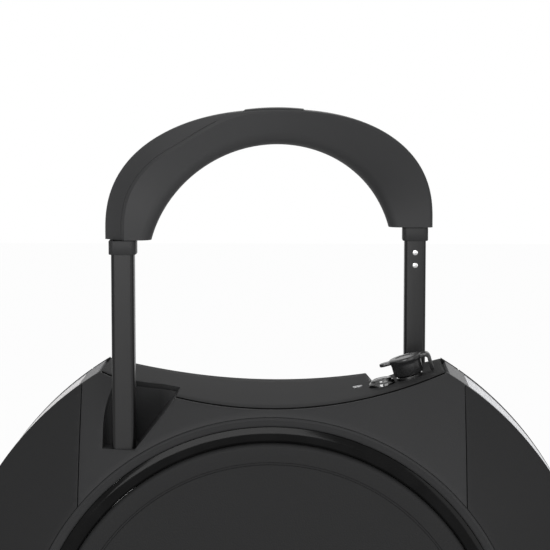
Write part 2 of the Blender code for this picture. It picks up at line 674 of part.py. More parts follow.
def wheel():
    hub = place("wheel_axis", (0, 0, AXLE_HEIGHT))
    half = TYRE_HALF
    bead = BEAD_RADIUS + GAP
    tread = AXLE_HEIGHT
    tyre = [
        (bead, -0.022), (bead + 0.006, -0.0245), (bead + 0.020, -half), (bead + 0.032, -0.0262),
        (
            tread - 0.010, -0.0215,
        ), (tread - 0.003, -0.0130), (tread, -0.005), (tread, 0.005), (tread - 0.003, 0.0130),
        (
            tread - 0.010, 0.0215,
        ), (bead + 0.032, 0.0262), (bead + 0.020, half), (bead + 0.006, 0.0245), (bead, 0.022),
    ]
    piece("tyre", turned(tyre, RING_STEPS), "tyre", hub)
    wide = RIM_HALF_WIDTH
    rim = [
        (MAGNET_OUTER + GAP, -wide + 0.004), (COVER_OUTER + 0.002, -wide), (BEAD_RADIUS + 0.003, -wide), (
            BEAD_RADIUS + 0.003, -wide + 0.0008,
        ),
        (BEAD_RADIUS, -0.0225), (BEAD_RADIUS, 0.0225), (
            BEAD_RADIUS + 0.003, wide - 0.0008,
        ), (BEAD_RADIUS + 0.003, wide),
        (COVER_OUTER + 0.002, wide), (MAGNET_OUTER + GAP, wide - 0.004),
    ]
    piece("motor_rim", turned(rim, HIDDEN_STEPS * 3 // 2), "aluminium", hub)
    for name, way in (("right", -1), ("left", 1)):
        face = wide - 0.004 + GAP
        cover = [
            (
                BEARING_RADIUS + GAP, way * 0.0225,
            ), (BEARING_RADIUS + GAP, way * 0.0295), (0.050, way * 0.0295),
            (0.120, way * 0.0262), (
                MAGNET_OUTER + GAP + 0.002, way * (face + 0.002),
            ), (MAGNET_OUTER - 0.002, way * face), (0.100, way * 0.0225),
        ]
        piece(name + "_motor_cover", turned(cover, HIDDEN_STEPS * 3 // 2), "dark_anodised", hub)
        bearing = [
            (
                AXLE_RADIUS + GAP, way * 0.0228,
            ), (AXLE_RADIUS + GAP, way * 0.0292), (BEARING_RADIUS, way * 0.0292),
            (BEARING_RADIUS, way * 0.0228),
        ]
        piece(name + "_wheel_bearing", turned(bearing, HIDDEN_STEPS), "steel", hub)
        winding = [
            (0.0925, way * 0.0143), (0.0925, way * 0.0200), (0.1115, way * 0.0200), (0.1115, way * 0.0143),
        ]
        piece(name + "_stator_winding", turned(winding, HIDDEN_STEPS), "copper", hub)
        nut = prism(
            [(0.0125 * math.cos(i * math.pi / 3), 0.0125 * math.sin(i * math.pi / 3)) for i in range(6)],
            "Y", 0, 0.008,
        )
        seat = FRAME_INNER + FRAME_THICK + BRACKET_THICK + 2 * GAP
        nut = piece(name + "_axle_nut", nut, "steel", hub, (0, way * seat - (0.008 if way < 0 else 0), 0))
        bore = turned([(0, -0.02), (AXLE_RADIUS + GAP, -0.02), (AXLE_RADIUS + GAP, 0.02), (0, 0.02)], 32)
        boolean(nut, piece(name + "_nut_bore", bore, None, hub, nut.location), "DIFFERENCE")
    magnet = [(MAGNET_INNER, -0.014), (MAGNET_OUTER, -0.014), (MAGNET_OUTER, 0.014), (MAGNET_INNER, 0.014)]
    piece("magnet_ring", turned(magnet, HIDDEN_STEPS * 3 // 2), "steel", hub)
    core = [
        (
            AXLE_RADIUS + GAP, -0.020,
        ), (0.020, -0.020), (0.020, -0.006), (0.080, -0.006), (0.080, -0.014), (STATOR_RADIUS, -0.014),
        (STATOR_RADIUS, 0.014), (0.080, 0.014), (0.080, 0.006), (0.020, 0.006), (0.020, 0.020), (
            AXLE_RADIUS + GAP, 0.020,
        ),
    ]
    piece("stator_core", turned(core, HIDDEN_STEPS * 3 // 2), "steel", hub)
    axle = [
        (0, -AXLE_END - 0.004), (AXLE_RADIUS - 0.001, -AXLE_END - 0.004), (AXLE_RADIUS, -AXLE_END - 0.003),
        (AXLE_RADIUS, AXLE_END + 0.003), (AXLE_RADIUS - 0.001, AXLE_END + 0.004), (0, AXLE_END + 0.004),
    ]
    piece("axle", turned(axle, 32), "steel", hub)


def pedal(side, parent):
    """Bracket on the axle, hinge pin, and the pedal with its grip mat."""
    inner = -FRAME_INNER - FRAME_THICK - GAP
    outer = inner - BRACKET_THICK
    wide = BRACKET_WIDTH / 2
    outline = [(-wide, HINGE_HEIGHT - 0.006), (wide, HINGE_HEIGHT - 0.006), (wide, 0.200)]
    outline += arc((0, 0.203), wide, 0, math.pi, 13) + [(-wide, 0.200)]
    bracket = piece(side + "_pedal_bracket", prism(outline, "Y", outer, inner), "aluminium", parent)
    foot = [
        (-HINGE_SIDE - 0.007, HINGE_HEIGHT - 0.005), (-HINGE_SIDE + 0.004, HINGE_HEIGHT - 0.008),
        (inner - 0.001, HINGE_HEIGHT - 0.006),
    ]
    foot += [
        (inner - 0.001, HINGE_HEIGHT + 0.008), (-HINGE_SIDE + 0.004, HINGE_HEIGHT + 0.008),
        (-HINGE_SIDE - 0.007, HINGE_HEIGHT + 0.005),
    ]
    arm = piece(side + "_bracket_arm", prism(foot, "X", -wide + 0.004, wide - 0.004), None, parent)
    boolean(bracket, arm, "UNION")
    tool = turned([(0, -0.08), (AXLE_RADIUS + GAP, -0.08), (AXLE_RADIUS + GAP, 0.0), (0, 0.0)], 32)
    boolean(bracket, piece(side + "_bracket_hole", tool, None, parent, (0, 0, AXLE_HEIGHT)), "DIFFERENCE")
    pin_hole = prism(
        arc((-HINGE_SIDE, HINGE_HEIGHT), PIN_RADIUS + GAP, 0, 2 * math.pi, 21)[:-1], "X", -0.05, 0.05,
    )
    boolean(bracket, piece(side + "_arm_hole", pin_hole, None, parent), "DIFFERENCE")
    hinge = place(side + "_pedal_hinge", (0, -HINGE_SIDE, HINGE_HEIGHT), parent)
    reach = 0.052
    piece(
        side + "_pedal_pin", prism(arc((0, 0), PIN_RADIUS, 0, 2 * math.pi, 21)[:-1], "X", -reach, reach),
        "steel", hinge,
    )
    near = -0.0115
    plate = [(x, y) for x, y in rounded(PEDAL_LENGTH, PEDAL_WIDTH, 0.028, (0, near - PEDAL_WIDTH / 2), 6)]
    low = -PEDAL_THICK / 2
    body = prism(plate, "Z", low, -low)
    body = piece(side + "_pedal", body, "dark_anodised", hinge)
    for i, way in enumerate((-1, 1)):
        round_end = arc((0, 0), KNUCKLE_RADIUS, 0, 2 * math.pi, 21)[:-1]
        tail = [(near - 0.004, KNUCKLE_RADIUS - 0.0002), (near - 0.004, -KNUCKLE_RADIUS + 0.0002)]
        ends = sorted((way * (wide - 0.0035), way * reach))
        knuckle = prism(hull(round_end + tail), "X", ends[0], ends[1])
        boolean(body, piece(f"{side}_knuckle_{i}", knuckle, None, hinge), "UNION")
    bore = prism(arc((0, 0), PIN_RADIUS + GAP, 0, 2 * math.pi, 21)[:-1], "X", -0.06, 0.06)
    boolean(body, piece(side + "_knuckle_bore", bore, None, hinge), "DIFFERENCE")
    mat = rounded(PEDAL_LENGTH - 0.030, PEDAL_WIDTH - 0.030, 0.018, (0, near - PEDAL_WIDTH / 2), 6)
    recess = prism(mat, "Z", -low - 0.0015, -low + 0.01)
    boolean(body, piece(side + "_mat_recess", recess, None, hinge), "DIFFERENCE")
    mat = rounded(PEDAL_LENGTH - 0.0308, PEDAL_WIDTH - 0.0308, 0.0176, (0, near - PEDAL_WIDTH / 2), 6)
    piece(side + "_pedal_grip", prism(mat, "Z", -low - 0.0015 + GAP, -low + 0.0012), "rubber", hinge)


clear_scene()
SIDES = {"right": place("right_side"), "left": place("left_side", (0, 0, 0), None, 0, math.pi)}
for side_name, side_parent in SIDES.items():
    side_covers(side_name, side_parent)
    side_rings(side_name, side_parent)
    pocket_liner(side_name, side_parent)
    posts(side_name, side_parent)
    pedal(side_name, side_parent)
handle_arch()
top_panel()
controls()
rims()
frames()
wheel()
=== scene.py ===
import math

import bmesh
import bpy
from mathutils import Matrix, Vector


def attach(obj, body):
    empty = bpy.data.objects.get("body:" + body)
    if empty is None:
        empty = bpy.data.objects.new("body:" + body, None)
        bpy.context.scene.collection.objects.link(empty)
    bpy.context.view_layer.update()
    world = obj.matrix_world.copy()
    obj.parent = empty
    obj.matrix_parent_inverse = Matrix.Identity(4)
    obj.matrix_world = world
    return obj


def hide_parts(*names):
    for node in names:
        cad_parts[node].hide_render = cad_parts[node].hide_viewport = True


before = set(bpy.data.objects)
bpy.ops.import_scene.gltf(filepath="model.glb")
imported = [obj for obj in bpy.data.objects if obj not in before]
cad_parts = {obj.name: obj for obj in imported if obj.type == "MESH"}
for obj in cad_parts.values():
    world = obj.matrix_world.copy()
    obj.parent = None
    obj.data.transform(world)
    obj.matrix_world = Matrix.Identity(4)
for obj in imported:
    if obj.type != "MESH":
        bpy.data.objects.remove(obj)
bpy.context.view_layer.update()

# Sizes of the vehicle, in metres
DISC = Vector((0, 0, 0.274))
AXLE = Vector((0, 0, 0.203))
RIM_RADIUS = 0.2235
RIM_HALF = 0.034
SEAM_RADIUS = 0.166
SEAM_HALF = 0.067
BULGE = 0.0012
WALL = 0.0028
BODY_BOTTOM = 0.112
END_SEAM = 0.128
SADDLE_LOW = 0.4454
SADDLE_RADIUS = 0.336
SADDLE_END = 0.1155
POST = (-0.098, -0.053)
GAP = 0.0003
ABOVE = 0.49
COVER_STEPS = 240

END_REACH = 0.25
END_TIP = 0.060

POCKET_RADIUS = 0.0142
POCKET_NOSE = (-0.068, -0.0285)
POCKET_OPEN = -0.085
POCKET_FLOOR = 0.4175
POCKET_FOOT = -0.0905
POCKET_SLOPE = 1.25
POCKET_TOP = 0.485
LINER = 0.0022

RING_BACK = 0.003
BEZEL_INNER = 0.1597
LIGHT_INNER = 0.1495
PAD_RADIUS = 0.149
PAD_PROUD = 0.003
PAD_GROOVE = 0.136

PANEL_THICK = 0.003
PANEL_GAP = 0.0009
PANEL_STEPS = 90
COVER_DROP = 0.0008
PORT_SPOT = (0.0925, -0.010)
BUTTON_SPOT = (0.0735, -0.013)
LAMP_SPOT = (0.057, -0.002)
PORT_HOLE = 0.0093
BUTTON_HOLE = 0.0091

RIM_DEPTH = 0.0095
BAND_HALF = 0.0309
BAND_START, BAND_END = math.radians(32), math.radians(104)
LENS_START, LENS_END = math.radians(36), math.radians(84)
LENS_HALF = 0.024
LENS_DEPTH = 0.004

LEG_LOW = 0.5555
ARCH_CENTRE = 0.5337
ARCH_RADIUS = 0.0822
ARCH_STATIONS = 120
CROWN_WIDTH = 0.110
CROWN_CENTRE = 0.562
CROWN_RISE = 0.077
CROWN_POWER = 2.3
CROWN_TOP = 0.639
FACE_SHARE = 0.89
CHAMFER_DROP = 0.85
KEY_HALF = 0.020
KEY_EDGE = 0.005
KEY_DEPTH = 0.009

TUBE_WIDTH, TUBE_DEPTH, TUBE_WALL = 0.015, 0.014, 0.0013
TUBE_BOTTOM, TUBE_TOP = 0.293, 0.5552
TUBE_CLEARANCE = 0.0004
COLLAR_BOTTOM = 0.546
COLLAR_WALL = 0.0015
STOP_PINS = (0.5377, 0.5287)

BEAD_RADIUS = 0.1513
TREAD_RADIUS = 0.203
TYRE_HALF = 0.027
TYRE_STEPS = 288

HINGE_SIDE = 0.086
PEDAL_NEAR = 0.0115
PEDAL_HALF = 0.050
PEDAL_TOP = 0.102
MAT_LENGTH, MAT_WIDTH, MAT_CORNER = 0.1692, 0.0692, 0.0176
STUD_PITCH = (0.0094, 0.0092)
STUD_SHIFT = 0.0024
STUD_HEIGHT = 0.0008

HALF_TURN = Matrix.Rotation(math.pi, 4, "Z")
SIDES = {"right": Matrix.Identity(4), "left": HALF_TURN}


# ---------------------------------------------------------------- making

def deselect():
    for obj in bpy.context.selected_objects:
        obj.select_set(False)


def new_piece(name, points, faces):
    """A mesh object, selected and active, with its place in its mesh."""
    mesh = bpy.data.meshes.new(name)
    mesh.from_pydata([tuple(p) for p in points], [], faces)
    obj = bpy.data.objects.new(name, mesh)
    bpy.context.scene.collection.objects.link(obj)
    return pick(obj)


def pick(obj):
    deselect()
    obj.select_set(True)
    bpy.context.view_layer.objects.active = obj
    return obj


def outward(obj):
    pick(obj)
    bpy.ops.object.mode_set(mode="EDIT")
    bpy.ops.mesh.select_all(action="SELECT")
    bpy.ops.mesh.remove_doubles(threshold=0.000005)
    bpy.ops.mesh.normals_make_consistent(inside=False)
    bpy.ops.object.mode_set(mode="OBJECT")
    return obj


def soften(obj, angle=35):
    pick(obj)
    bpy.ops.object.shade_smooth_by_angle(angle=math.radians(angle))
    return obj


def bevel(obj, width, segments=2, angle=32):
    pick(obj)
    step = obj.modifiers.new("edge", "BEVEL")
    step.width = width
    step.segments = segments
    step.limit_method = "ANGLE"
    step.angle_limit = math.radians(angle)
    step.harden_normals = False
    bpy.ops.object.modifier_apply(modifier=step.name)
    return obj


def combine(obj, tool, operation="DIFFERENCE"):
    """Applies a Boolean, then removes the tool."""
    pick(obj)
    step = obj.modifiers.new("cut", "BOOLEAN")
    step.operation = operation
    step.solver = "EXACT"
    step.object = tool
    bpy.ops.object.modifier_apply(modifier=step.name)
    bpy.data.objects.remove(tool, do_unlink=True)
    return obj


def moved(obj, matrix):
    obj.data.transform(matrix)
    return obj


def turn(name, profile, centre, steps=192, along="Y"):
    """A closed profile of (radius, along) turned about an axis through the centre."""
    axis = Vector((0, 1, 0)) if along == "Y" else Vector((0, 0, 1))
    points = [Vector((r, 0, 0)) + axis * a for r, a in profile]
    mesh = bpy.data.meshes.new(name)
    count = len(points)
    mesh.from_pydata([tuple(p) for p in points], [(i, (i + 1) % count) for i in range(count)], [])
    obj = bpy.data.objects.new(name, mesh)
    bpy.context.scene.collection.objects.link(obj)
    pick(obj)
    step = obj.modifiers.new("turn", "SCREW")
    step.axis = along
    step.steps = steps
    step.render_steps = steps
    step.use_merge_vertices = True
    step.merge_threshold = 0.00001
    bpy.ops.object.modifier_apply(modifier=step.name)
    outward(obj)
    return moved(obj, Matrix.Translation(centre))


def loft(name, rings):
    """Rings of points joined one to the next, with flat ends."""
    points = [p for ring in rings for p in ring]
    n = len(rings[0])
    faces = []
    for i in range(len(rings) - 1):
        for k in range(n):
            a, b = i * n + k, i * n + (k + 1) % n
            faces.append((a, b, b + n, a + n))
    faces.append(tuple(range(n)))
    faces.append(tuple(range((len(rings) - 1) * n, len(rings) * n)))
    return outward(new_piece(name, points, faces))


def prism(name, outline, along, low, high):
    """An outline pushed from low to high along one axis."""
    place = {
        "Y": lambda a, b, c: (a, c, b),
        "Z": lambda a, b, c: (a, b, c),
    }[along]
    return loft(name, [[place(a, b, end) for a, b in outline] for end in (low, high)])


def arc(centre, radius, start, end, count):
    step = (end - start) / (count - 1)
    angles = [start + step * i for i in range(count)]
    return [(centre[0] + radius * math.cos(a), centre[1] + radius * math.sin(a)) for a in angles]


def rounded(width, depth, corner, centre=(0, 0), count=8):
    points = []
    for i, (sx, sy) in enumerate(((1, 1), (-1, 1), (-1, -1), (1, -1))):
        middle = (centre[0] + sx * (width / 2 - corner), centre[1] + sy * (depth / 2 - corner))
        points += arc(middle, corner, i * math.pi / 2, (i + 1) * math.pi / 2, count)
    return points


def hull(points):
    """The convex outline round some points, anticlockwise."""
    points = sorted(set(points))

    def chain(row):
        kept = []
        for p in row:
            while len(kept) > 1:
                o, a = kept[-2], kept[-1]
                if (a[0] - o[0]) * (p[1] - o[1]) - (a[1] - o[1]) * (p[0] - o[0]) > 1e-12:
                    break
                kept.pop()
            kept.append(p)
        return kept[:-1]

    return chain(points) + chain(points[::-1])


def smooth_step(value):
    value = min(1.0, max(0.0, value))
    return value * value * (3 - 2 * value)


def done(obj, look, body, *nodes):
    """Gives a finished piece its material, its body and the CAD nodes it stands for."""
    obj.data.materials.clear()
    obj.data.materials.append(look)
    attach(obj, body)
    if nodes:
        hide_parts(*nodes)
    return obj


# ---------------------------------------------------------------- materials

class Value:
    """A shader socket that Python's operators add Math nodes to."""

    def __init__(self, look, socket):
        self.look, self.socket = look, socket

    def _math(self, operation, a, b=0.0):
        return self.look.node("ShaderNodeMath", {"operation": operation}, {0: a, 1: b})

    def __add__(self, other):
        return self._math("ADD", self, other)

    def __radd__(self, other):
        return self._math("ADD", other, self)

    def __sub__(self, other):
        return self._math("SUBTRACT", self, other)

    def __rsub__(self, other):
        return self._math("SUBTRACT", other, self)

    def __mul__(self, other):
        return self._math("MULTIPLY", self, other)

    def __rmul__(self, other):
        return self._math("MULTIPLY", other, self)

    def or_more(self, other):
        return self._math("MAXIMUM", self, other)


class Look:
    """A material under construction."""

    def __init__(self, name):
        self.material = bpy.data.materials.new(name)
        self.material.use_nodes = True
        self.tree = self.material.node_tree
        self.shader = self.tree.nodes["Principled BSDF"]

    def node(self, kind, settings=None, inputs=None, out=0):
        made = self.tree.nodes.new(kind)
        for key, value in (settings or {}).items():
            setattr(made, key, value)
        for key, value in (inputs or {}).items():
            if isinstance(value, Value):
                self.tree.links.new(value.socket, made.inputs[key])
            else:
                made.inputs[key].default_value = value
        return Value(self, made.outputs[out])

    def noise(self, scale, detail=3.0, stretch=(1, 1, 1)):
        place = self.node("ShaderNodeTexCoord", out="Object")
        place = self.node("ShaderNodeMapping", {}, {"Vector": place, "Scale": stretch})
        return self.node(
            "ShaderNodeTexNoise", {}, {"Vector": place, "Scale": scale, "Detail": detail}, "Fac",
        )

    def mix(self, share, first, second):
        return self.node("ShaderNodeMix", {"data_type": "RGBA"}, {0: share, 6: first, 7: second}, 2)

    def set(self, **values):
        for key, value in values.items():
            socket = self.shader.inputs[key.replace("_", " ")]
            if isinstance(value, Value):
                self.tree.links.new(value.socket, socket)
            else:
                socket.default_value = value
        return self

    def bump(self, height, distance):
        sockets = {"Height": height, "Distance": distance, "Strength": 1.0}
        return self.set(Normal=self.node("ShaderNodeBump", {}, sockets))


def gray(value, tint=(1.0, 1.0, 1.0)):
    return (value * tint[0], value * tint[1], value * tint[2], 1)


def plastic(name, tone, rough, grain=1500, depth=0.00008, tint=(1.0, 1.0, 1.01), vary=0.10, shine=0.12):
    """Moulded plastic with a fine spark-eroded grain and a faint unevenness in tone."""
    look = Look(name)
    wide = look.noise(9)
    fine = look.noise(grain, 2)
    look.set(
        Base_Color=look.mix(wide, gray(tone * (1 - vary), tint), gray(tone * (1 + vary), tint)),
        Roughness=rough - 0.05 + wide * 0.06 + fine * 0.06,
        Metallic=0.0,
    )
    look.shader.inputs["Specular IOR Level"].default_value = shine
    look.bump(fine, depth)
    return look.material


def metal(name, tone, rough, stretch=(1, 1, 40), tint=(1, 1, 1), grain=260, depth=0.00002, metallic=1.0):
    """Metal with fine drawn or turned lines."""
    look = Look(name)
    line = look.noise(grain, 3, stretch)
    wide = look.noise(14)
    look.set(
        Base_Color=look.mix(wide, gray(tone * 0.9, tint), gray(tone * 1.1, tint)),
        Roughness=rough + (line - 0.5) * 0.12,
        Metallic=metallic,
    )
    look.bump(line, depth)
    return look.material


def light_ring_look():
    """Glossy dark cover over the lamps, with faint streaks of painted reflection in its colour round it."""
    look = Look("smoked_ring")
    streak_sheen = look.noise(60, 2, (1, 1, 1))
    # The streak noise paints faint reflection streaks into the base colour; the same noise also varies the
    # roughness.
    look.set(
        Base_Color=look.mix(streak_sheen, gray(0.0025), gray(0.0065)), Roughness=0.06 + streak_sheen * 0.08,
        Metallic=0.0,
    )
    look.shader.inputs["Specular IOR Level"].default_value = 0.06
    return look.bump(look.noise(25, 2), 0.0003).material


def tyre_look():
    look = Look("tyre_rubber")
    dust = look.noise(45, 4)
    fine = look.noise(700, 3)
    look.set(
        Base_Color=look.mix(dust, gray(0.013), gray(0.028)), Roughness=0.70 + fine * 0.18, Metallic=0.0,
    )
    return look.bump(fine, 0.0002).material


def lens_look(name, tone, tint):
    """Frosted lens with fine ribs across it."""
    look = Look(name)
    place = look.node("ShaderNodeTexCoord", out="Object")
    rib = look.node("ShaderNodeTexWave", {"bands_direction": "Y"}, {"Vector": place, "Scale": 95.0}, "Fac")
    look.set(
        Base_Color=look.mix(rib, gray(tone * 0.92, tint), gray(tone, tint)), Roughness=0.16 + rib * 0.06,
        Metallic=0.0,
    )
    return look.bump(rib, 0.0002).material


def pack_look():
    look = Look("pack_wrap")
    fold = look.noise(18, 5)
    look.set(
        Base_Color=look.mix(fold, (0.02, 0.06, 0.17, 1), (0.04, 0.10, 0.27, 1)),
        Roughness=0.30 + fold * 0.2, Metallic=0.0,
    )
    return look.bump(fold, 0.0006).material


def board_look():
    look = Look("board_mask")
    trace = look.noise(160, 1, (1, 4, 1))
    look.set(
        Base_Color=look.mix(trace, (0.012, 0.08, 0.035, 1), (0.03, 0.16, 0.07, 1)),
        Roughness=0.35 + trace * 0.1, Metallic=0.0,
    )
    return look.bump(trace, 0.00005).material


SHELL = plastic("shell_plastic", 0.0245, 0.52)
# A darker copy of the shell plastic for the end covers: painted shade for the darker ends of the lens-shaped
# body.
SHADED_END_SHELL = plastic("end_cover_plastic_shaded", 0.0140, 0.52)
TOP = plastic("saddle_plastic", 0.0150, 0.72)
GRIP = plastic("handle_plastic", 0.0310, 0.48, grain=1800, depth=0.00006)
COLLAR = plastic("collar_plastic", 0.0220, 0.44, grain=1400, depth=0.00005)
PAD = plastic("pad_rubber", 0.0130, 0.60, grain=900, depth=0.00015)
RIM_GRAY = plastic("rim_bezel_plastic", 0.11, 0.40)
MOULDED = plastic("moulded_rubber", 0.015, 0.27, grain=600, depth=0.00005, shine=0.35)
# Near-black material for the strip that paints the shadow in the gap along the saddle's edges.
GAP_SHADOW = plastic("gap_shadow_paint", 0.0035, 0.75, shine=0.04)
MAT = plastic("grip_mat_rubber", 0.016, 0.72, grain=500, depth=0.0003)
ANODISED = metal("anodised_tube", 0.017, 0.38, (1, 1, 0.02), (1.0, 1.0, 1.01), 900, 0.00002, 0.85)
ANODISED_PLATE = metal("anodised_plate", 0.045, 0.36, (1, 1, 1), (0.97, 0.98, 1.03), 500, 0.00004, 0.7)
CHROME = metal("bright_chrome", 0.34, 0.13, (1, 1, 1), depth=0.000005)
DARK_CHROME = metal("dark_chrome", 0.085, 0.12, (1, 1, 1), depth=0.000005)
ALLOY = metal("cast_alloy", 0.30, 0.38, (1, 1, 1), depth=0.00006)
STEEL = metal("turned_steel", 0.42, 0.28, (1, 30, 1))
COPPER = metal("winding_copper", 0.50, 0.35, (1, 1, 1), (1.0, 0.50, 0.25), 400, 0.0002)
RING = light_ring_look()
TYRE = tyre_look()
PALE = lens_look("pale_lens", 0.80, (1.0, 1.0, 1.02))
LAMP = lens_look("indicator_lens", 0.38, (1.0, 1.0, 1.0))
TAIL = lens_look("tail_lens", 0.62, (1.0, 0.93, 0.92))
PACK = pack_look()
BOARD = board_look()


# ---------------------------------------------------------------- body

def saddle(x):
    return SADDLE_LOW + x * x / (2 * SADDLE_RADIUS)


def side_half(radius):
    share = (radius - SEAM_RADIUS) / (RIM_RADIUS - SEAM_RADIUS)
    return SEAM_HALF + (RIM_HALF - SEAM_HALF) * share + BULGE * math.sin(math.pi * min(max(share, 0), 1))


def saddle_outline(low, drop, reach, steps=48):
    """What lies under the saddle, in side view: the drop is how far under."""
    ends = SADDLE_END
    xs = [ends - 2 * ends * i / steps for i in range(steps + 1)]
    top = [(x, saddle(x) - drop) for x in xs]
    front = [(-reach, low), (reach, low), (reach, ABOVE), (ends + 0.001, ABOVE)]
    return front + top + [(-ends - 0.001, ABOVE), (-reach, ABOVE)]


def pocket_tool(name, grow=0.0):
    """The space of the post's pocket: a leaf in plan, open to the side, with a floor that climbs inwards."""
    points = []
    for centre in (POCKET_NOSE, POST, (POCKET_NOSE[0], POCKET_OPEN), (POST[0], POCKET_OPEN)):
        points += arc(centre, POCKET_RADIUS + grow, 0, 2 * math.pi, 65)[:-1]
    obj = prism(name, hull(points), "Z", POCKET_FLOOR - grow, POCKET_TOP)
    lift = grow * math.hypot(1, POCKET_SLOPE)
    # The operator clamps each component to 1, so the direction needs unit length.
    upward = Vector((-POCKET_SLOPE, 0, 1)).normalized()
    pick(obj)
    bpy.ops.object.mode_set(mode="EDIT")
    bpy.ops.mesh.select_all(action="SELECT")
    bpy.ops.mesh.bisect(
        plane_co=(POCKET_FOOT, 0, POCKET_FLOOR - lift), plane_no=upward, use_fill=True, clear_inner=True
    )
    bpy.ops.object.mode_set(mode="OBJECT")
    return outward(obj)


def passage_tool(name):
    """The hole that the tube slides through in the pocket's floor."""
    width, depth = TUBE_WIDTH + 2 * TUBE_CLEARANCE, TUBE_DEPTH + 2 * TUBE_CLEARANCE
    return prism(name, rounded(width, depth, 0.003, POST), "Z", 0.38, 0.43)


def side_shell(name):
    """The lens-shaped wall between the ring seam and the rim."""
    inner = SEAM_RADIUS + GAP
    radii = [inner + (RIM_RADIUS - inner) * i / 14 for i in range(15)]
    outer = [(r, -side_half(r)) for r in radii]
    back = [(r, -side_half(r) + WALL) for r in radii]
    return turn(name, outer + back[::-1], DISC, COVER_STEPS)


def side_covers():
    for side, way in SIDES.items():
        shoulder = side_shell(side + "_shoulder_shell")
        outline = saddle_outline(0.374, COVER_DROP, END_SEAM - GAP)
        combine(shoulder, prism("keep", outline, "Y", -0.08, 0), "INTERSECT")
        combine(shoulder, pocket_tool("pocket"))
        combine(shoulder, passage_tool("passage"))
        bevel(shoulder, 0.0003, 2)
        soften(moved(shoulder, way), 30)
        done(shoulder, SHELL, "shell", side + "_shoulder_cover")
        for end, sign in (("front", 1), ("rear", -1)):
            cover = side_shell(side + "_" + end + "_shell")
            local = sign if side == "right" else -sign
            near, far, tip = (v * local for v in (END_SEAM + GAP, END_REACH, END_TIP))
            outline = [(near, 0.50), (near, DISC.z), (tip, DISC.z)]
            outline += [(tip, BODY_BOTTOM), (far, BODY_BOTTOM), (far, 0.50)]
            combine(cover, prism("keep", outline, "Y", -0.08, 0), "INTERSECT")
            bevel(cover, 0.0005, 2)
            soften(moved(cover, way), 30)
            # The end covers take the darker plastic as painted shade.
            done(cover, SHADED_END_SHELL, "shell", side + "_" + end + "_cover")
        liner(side, way)


def liner(side, way):
    """The cup that closes the shell round the post."""
    cup = pocket_tool(side + "_pocket_cup", LINER)
    combine(cup, pocket_tool("hollow"))
    last = RIM_RADIUS - 0.002
    within = [(0, 0), (PAD_GROOVE, 0), (PAD_GROOVE, -SEAM_HALF + 0.0055)]
    within += [(r, -side_half(r) + WALL + GAP) for r in (SEAM_RADIUS, 0.18, 0.195, 0.21, last)]
    combine(cup, turn("within", within + [(last, 0)], DISC, 96), "INTERSECT")
    below = saddle_outline(0.38, PANEL_THICK + GAP, 0.13)
    combine(cup, prism("below", below, "Y", -0.08, 0), "INTERSECT")
    combine(cup, passage_tool("passage"))
    soften(moved(cup, way), 30)
    done(cup, SHELL, "shell", side + "_pocket_liner")


def side_rings():
    """Bezel ring, smoked light ring and pad on each side."""
    face, back = -SEAM_HALF, -SEAM_HALF + RING_BACK
    low, high = LIGHT_INNER, BEZEL_INNER - GAP
    for side, way in SIDES.items():
        bezel = [(SEAM_RADIUS, back), (SEAM_RADIUS, face + 0.0003), (SEAM_RADIUS - 0.0006, face - 0.0004)]
        bezel += [(SEAM_RADIUS - 0.0015, face - 0.0008), (BEZEL_INNER + 0.0022, face + 0.0002)]
        bezel += [(BEZEL_INNER + 0.0012, face + 0.0006), (BEZEL_INNER + 0.0003, face + 0.0012)]
        bezel += [(BEZEL_INNER, face + 0.0018), (BEZEL_INNER, back)]
        ring = soften(moved(turn(side + "_bezel", bezel, DISC, COVER_STEPS), way), 40)
        done(ring, SHELL, "shell", side + "_bezel_ring")

        crest = [
            (high + (low - high) * i / 8, face + 0.0014 - 0.0009 * math.sin(math.pi * i / 8))
            for i in range(9)
        ]
        outline = [(high, back)] + crest + [(low, back)]
        lamp = soften(moved(turn(side + "_lamp_ring", outline, DISC, COVER_STEPS), way), 50)
        done(lamp, RING, "shell", side + "_light_ring")

        top, edge, groove = face - PAD_PROUD, PAD_RADIUS, PAD_GROOVE
        pad = [(0, back), (edge, back), (edge, face - 0.0004)]
        pad += [
            (edge - 0.003 + 0.003 * math.cos(a), top + 0.0026 - 0.0026 * math.sin(a))
            for a in (0.3, 0.6, 0.9, 1.2, 1.57)
        ]
        pad += [(groove + 0.001, top), (groove + 0.0005, top + 0.0006)]
        pad += [(groove - 0.0005, top + 0.0006), (groove - 0.001, top), (0, top)]
        pad = soften(moved(turn(side + "_knee_pad", pad, DISC, COVER_STEPS), way), 35)
        done(pad, PAD, "shell", side + "_pad")


def on_saddle(spot):
    """The matrix that puts a piece on the saddle, square to it."""
    tilt = -math.atan2(spot[0], SADDLE_RADIUS)
    return Matrix.Translation((spot[0], spot[1], saddle(spot[0]))) @ Matrix.Rotation(tilt, 4, "Y")


def panel_half(x):
    """Half the saddle panel's width at x."""
    z = saddle(x)
    radii = (math.hypot(x, z - low - DISC.z) for low in (0, PANEL_THICK))
    return min(side_half(r) for r in radii) - WALL - PANEL_GAP


def saddle_gap_shadows():
    """The dark strip between the saddle panel and each shoulder cover, a painted shadow standing in for the
    shade in the gap between them.
    """
    end = SADDLE_END - 0.0008
    for side, way in SIDES.items():
        rings = []
        for i in range(PANEL_STEPS + 1):
            x = end - 2 * end * i / PANEL_STEPS
            near, far = -panel_half(x) - 0.0007, -panel_half(x) - 0.0001
            high, low = saddle(x) - 0.0001, saddle(x) - 0.0025
            rings.append([(x, near, high), (x, far, high), (x, far, low), (x, near, low)])
        strip = loft(side + "_saddle_gap_shadow", rings)
        combine(strip, pocket_tool("pocket"))
        done(soften(moved(strip, way), 40), GAP_SHADOW, "shell")


